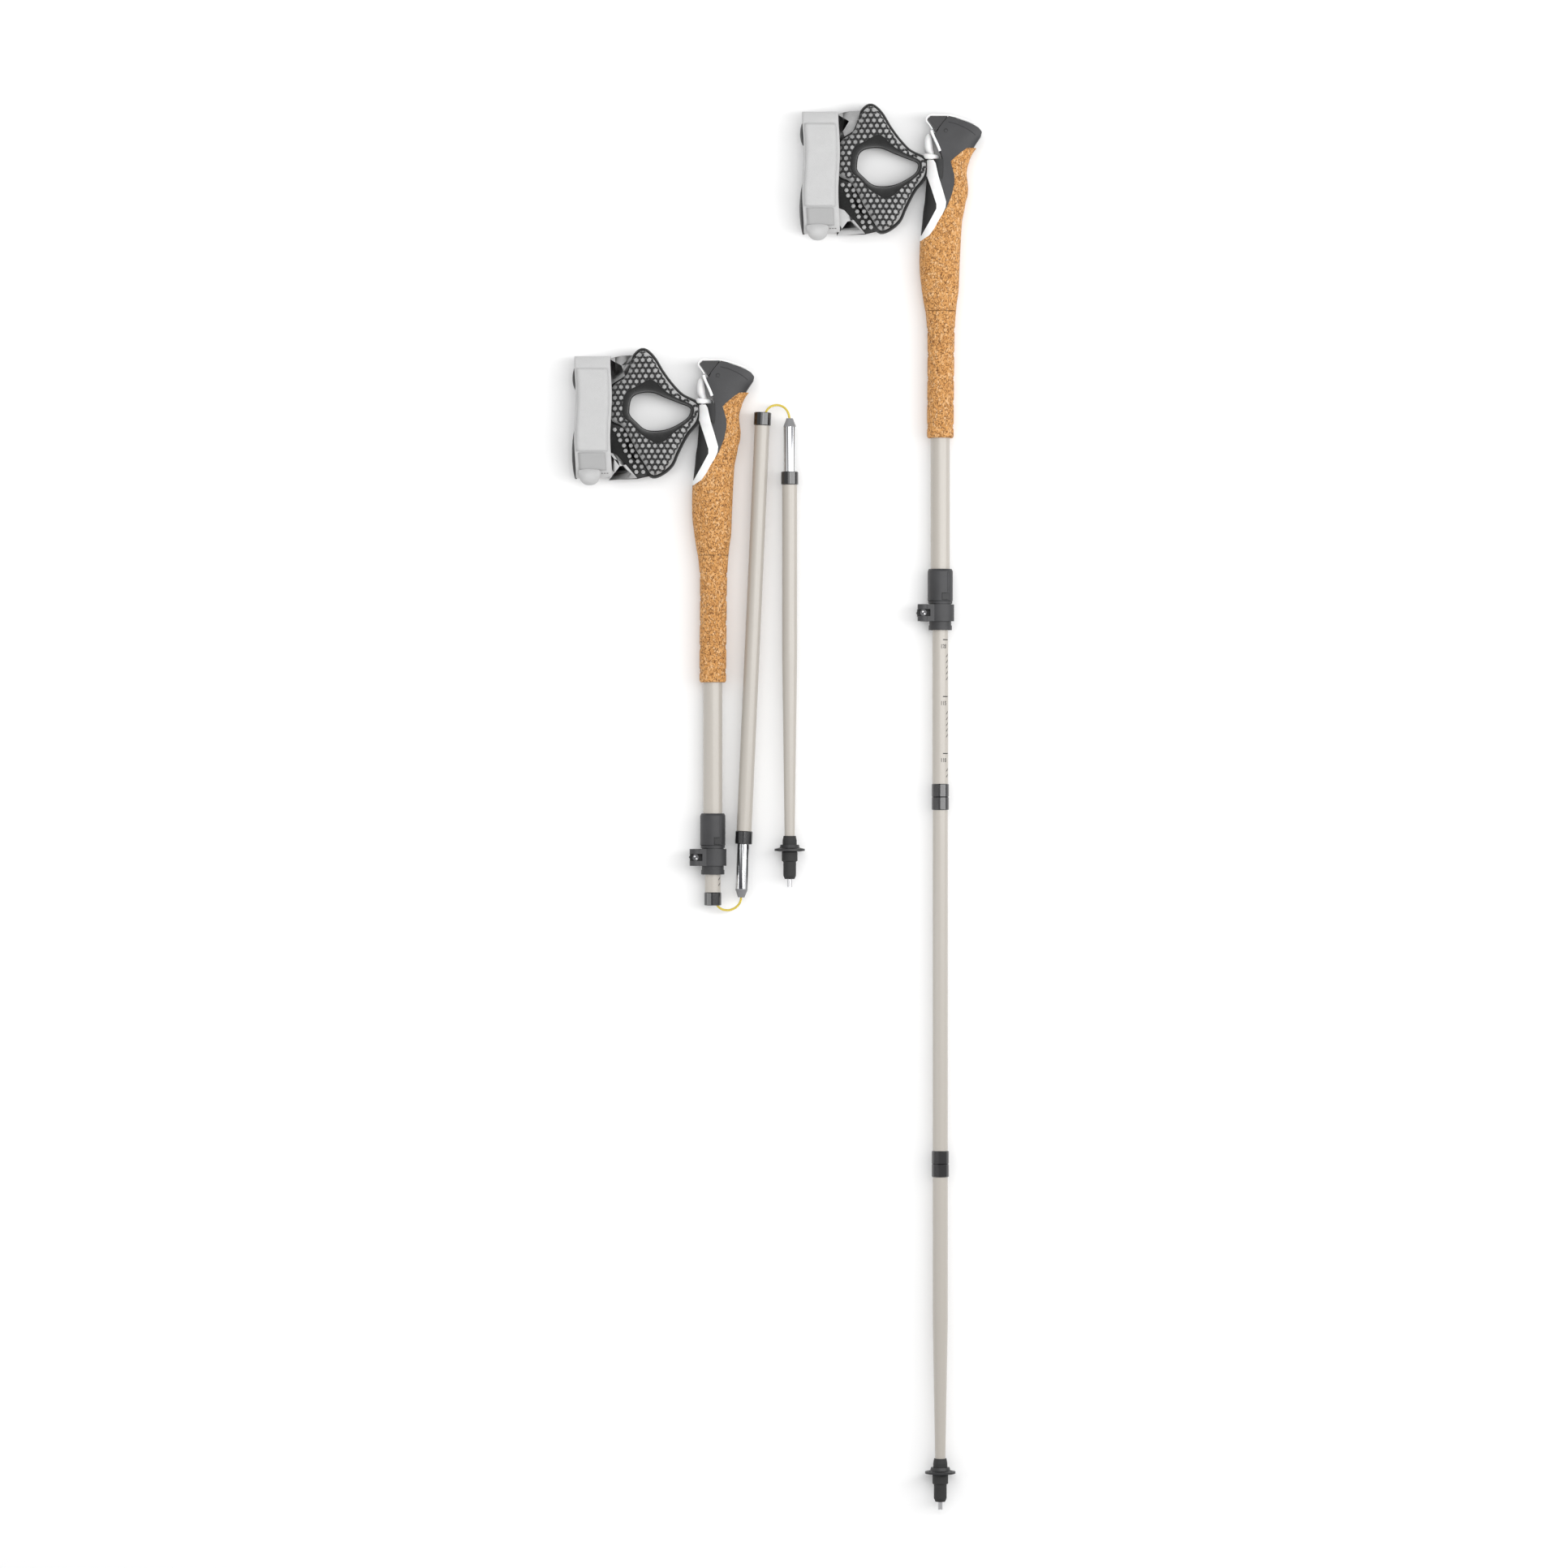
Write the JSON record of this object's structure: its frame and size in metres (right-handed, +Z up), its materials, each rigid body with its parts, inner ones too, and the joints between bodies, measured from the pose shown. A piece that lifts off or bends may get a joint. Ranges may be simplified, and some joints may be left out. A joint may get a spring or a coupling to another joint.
{
  "type": "trekking poles",
  "caption": "Pair of folding trekking poles with cork grips, strap gloves, lever locks and small baskets, one assembled and one folded.",
  "frame": {"origin": "on the ground plane, below the middle of the pair's bounding box", "axes": "+X to the right across the poles, +Y along the poles towards the grips, +Z up"},
  "size_m": [0.3556, 1.2276, 0.0324],
  "materials": {
    "cork": "matte, granular",
    "dark_plastic": "fine satin texture",
    "black_plastic": "satin",
    "black_rubber": "matte",
    "white_plastic": "satin white",
    "steel": "brushed",
    "grip_shaft_finish": "satin warm grey anodised",
    "shaft_finish": "satin warm grey anodised",
    "gloss_black": "gloss",
    "plug_metal": "polished",
    "mesh_fabric": "open hexagonal mesh",
    "band_fabric": "brushed hook-and-loop fabric",
    "cord": "braided"
  },
  "bodies": {
    "extended_upper": {"extended_cork_grip": "cork", "extended_cork_extension": "cork", "extended_grip_head": "dark_plastic", "extended_grip_core": "black_rubber", "extended_hook_frame": "white_plastic", "extended_trigger_pivot": "steel", "extended_upper_shaft": "grip_shaft_finish", "extended_lock_sleeve": "dark_plastic", "extended_clamp_ring": "dark_plastic", "extended_lever_bolt": "steel"},
    "extended_trigger_button": {"extended_trigger": "black_plastic"},
    "extended_release": {"extended_release_button": "black_plastic"},
    "extended_lever": {"extended_lock_lever": "dark_plastic"},
    "extended_dial": {"extended_tension_dial": "black_plastic"},
    "extended_inner": {"extended_inner_shaft": "shaft_finish", "extended_guide_bush": "black_plastic", "extended_socket_collar": "gloss_black"},
    "extended_mid": {"extended_mid_shaft": "shaft_finish", "extended_mid_collars": "gloss_black", "extended_mid_plug": "plug_metal", "extended_tension_cord": "cord"},
    "extended_lower": {"extended_lower_shaft": "shaft_finish", "extended_lower_collar": "gloss_black", "extended_lower_plug": "plug_metal", "extended_tip_holder": "black_rubber", "extended_basket": "black_plastic", "extended_carbide_tip": "steel"},
    "extended_strap": {"extended_strap_glove": "mesh_fabric", "extended_wrist_band": "band_fabric"},
    "folded_upper": {"folded_cork_grip": "cork", "folded_cork_extension": "cork", "folded_grip_head": "dark_plastic", "folded_grip_core": "black_rubber", "folded_hook_frame": "white_plastic", "folded_trigger_pivot": "steel", "folded_upper_shaft": "grip_shaft_finish", "folded_lock_sleeve": "dark_plastic", "folded_clamp_ring": "dark_plastic", "folded_lever_bolt": "steel"},
    "folded_trigger_button": {"folded_trigger": "black_plastic"},
    "folded_release": {"folded_release_button": "black_plastic"},
    "folded_lever": {"folded_lock_lever": "dark_plastic"},
    "folded_dial": {"folded_tension_dial": "black_plastic"},
    "folded_inner": {"folded_inner_shaft": "shaft_finish", "folded_guide_bush": "black_plastic", "folded_socket_collar": "gloss_black"},
    "folded_mid": {"folded_mid_shaft": "shaft_finish", "folded_mid_collars": "gloss_black", "folded_mid_plug": "plug_metal"},
    "folded_lower": {"folded_lower_shaft": "shaft_finish", "folded_lower_collar": "gloss_black", "folded_lower_plug": "plug_metal", "folded_tip_holder": "black_rubber", "folded_basket": "black_plastic", "folded_carbide_tip": "steel"},
    "folded_strap": {"folded_strap_glove": "mesh_fabric", "folded_wrist_band": "band_fabric"},
    "folded_knee_lower": {"folded_knee_cord_lower": "cord"},
    "folded_knee_upper": {"folded_knee_cord_upper": "cord"}
  },
  "joints": [
    {"name": "extended_trigger_press", "type": "hinge", "parent": "extended_upper", "child": "extended_trigger_button", "pos_m": [0.147, 0.591, 0.0135], "axis": [0, 0, 1], "range_deg": [0, 8], "stiffness_Nm_per_rad": 0.6, "springref_deg": -5.73},
    {"name": "extended_release_press", "type": "slide", "parent": "extended_upper", "child": "extended_release", "axis": [0, 0, -1], "range_m": [0, 0.0015], "stiffness_N_per_m": 800, "springref_m": -0.001},
    {"name": "extended_lever_open", "type": "hinge", "parent": "extended_upper", "child": "extended_lever", "pos_m": [0.1275, 0.1702, 0.0235], "axis": [0, -1, 0], "range_deg": [0, 120]},
    {"name": "extended_dial_turn", "type": "hinge", "parent": "extended_upper", "child": "extended_dial", "pos_m": [0.1275, 0.1702, 0.0065], "axis": [0, 0, 1], "continuous": true},
    {"name": "extended_strap_swing", "type": "hinge", "parent": "extended_upper", "child": "extended_strap", "pos_m": [0.1346, 0.5678, 0.0135], "axis": [0, 0, 1], "range_deg": [-25, 0]},
    {"name": "extended_length", "type": "slide", "parent": "extended_upper", "child": "extended_inner", "axis": [0, -1, 0], "range_m": [-0.118, 0.082]},
    {"name": "extended_mid_unplug", "type": "slide", "parent": "extended_inner", "child": "extended_mid", "axis": [0, -1, 0], "range_m": [0, 0.06]},
    {"name": "extended_lower_unplug", "type": "slide", "parent": "extended_mid", "child": "extended_lower", "axis": [0, -1, 0], "range_m": [0, 0.06]},
    {"name": "folded_pole_lift", "type": "slide", "parent": "extended_upper", "child": "folded_lower", "axis": [0, 0, 1], "range_m": [0, 0.3]},
    {"name": "folded_upper_knee", "type": "hinge", "parent": "folded_lower", "child": "folded_knee_upper", "pos_m": [-0.00088, 0.356, 0.0135], "axis": [0, 0, -1], "range_deg": [0, 177.45], "deforming": ["folded_knee_cord_upper"]},
    {"name": "folded_lower_plug_in", "type": "slide", "parent": "folded_knee_upper", "child": "folded_mid", "axis": [0.0445, 0.999, 0], "range_m": [0, 0.0729], "deforming": ["folded_knee_cord_upper"]},
    {"name": "folded_mid_plug_in", "type": "slide", "parent": "folded_mid", "child": "folded_knee_lower", "axis": [0.0445, 0.999, 0], "range_m": [0, 0.075], "deforming": ["folded_knee_cord_lower"]},
    {"name": "folded_lower_knee", "type": "hinge", "parent": "folded_knee_lower", "child": "folded_inner", "pos_m": [-0.04458, -0.096, 0.0135], "axis": [0, 0, 1], "range_deg": [0, 177.45], "deforming": ["folded_knee_cord_lower"]},
    {"name": "folded_length", "type": "slide", "parent": "folded_inner", "child": "folded_upper", "axis": [0, 1, 0], "range_m": [0, 0.2]},
    {"name": "folded_trigger_press", "type": "hinge", "parent": "folded_upper", "child": "folded_trigger_button", "pos_m": [-0.052, 0.3773, 0.0135], "axis": [0, 0, 1], "range_deg": [0, 8], "stiffness_Nm_per_rad": 0.6, "springref_deg": -5.73},
    {"name": "folded_release_press", "type": "slide", "parent": "folded_upper", "child": "folded_release", "axis": [0, 0, -1], "range_m": [0, 0.0015], "stiffness_N_per_m": 800, "springref_m": -0.001},
    {"name": "folded_lever_open", "type": "hinge", "parent": "folded_upper", "child": "folded_lever", "pos_m": [-0.0715, -0.0435, 0.0235], "axis": [0, -1, 0], "range_deg": [0, 120]},
    {"name": "folded_dial_turn", "type": "hinge", "parent": "folded_upper", "child": "folded_dial", "pos_m": [-0.0715, -0.0435, 0.0065], "axis": [0, 0, 1], "continuous": true},
    {"name": "folded_strap_swing", "type": "hinge", "parent": "folded_upper", "child": "folded_strap", "pos_m": [-0.0644, 0.3541, 0.0135], "axis": [0, 0, 1], "range_deg": [-25, 0]}
  ],
  "couplings": [
    {"joint": "folded_lower_knee", "follows": "folded_upper_knee", "ratio": 1}
  ]
}
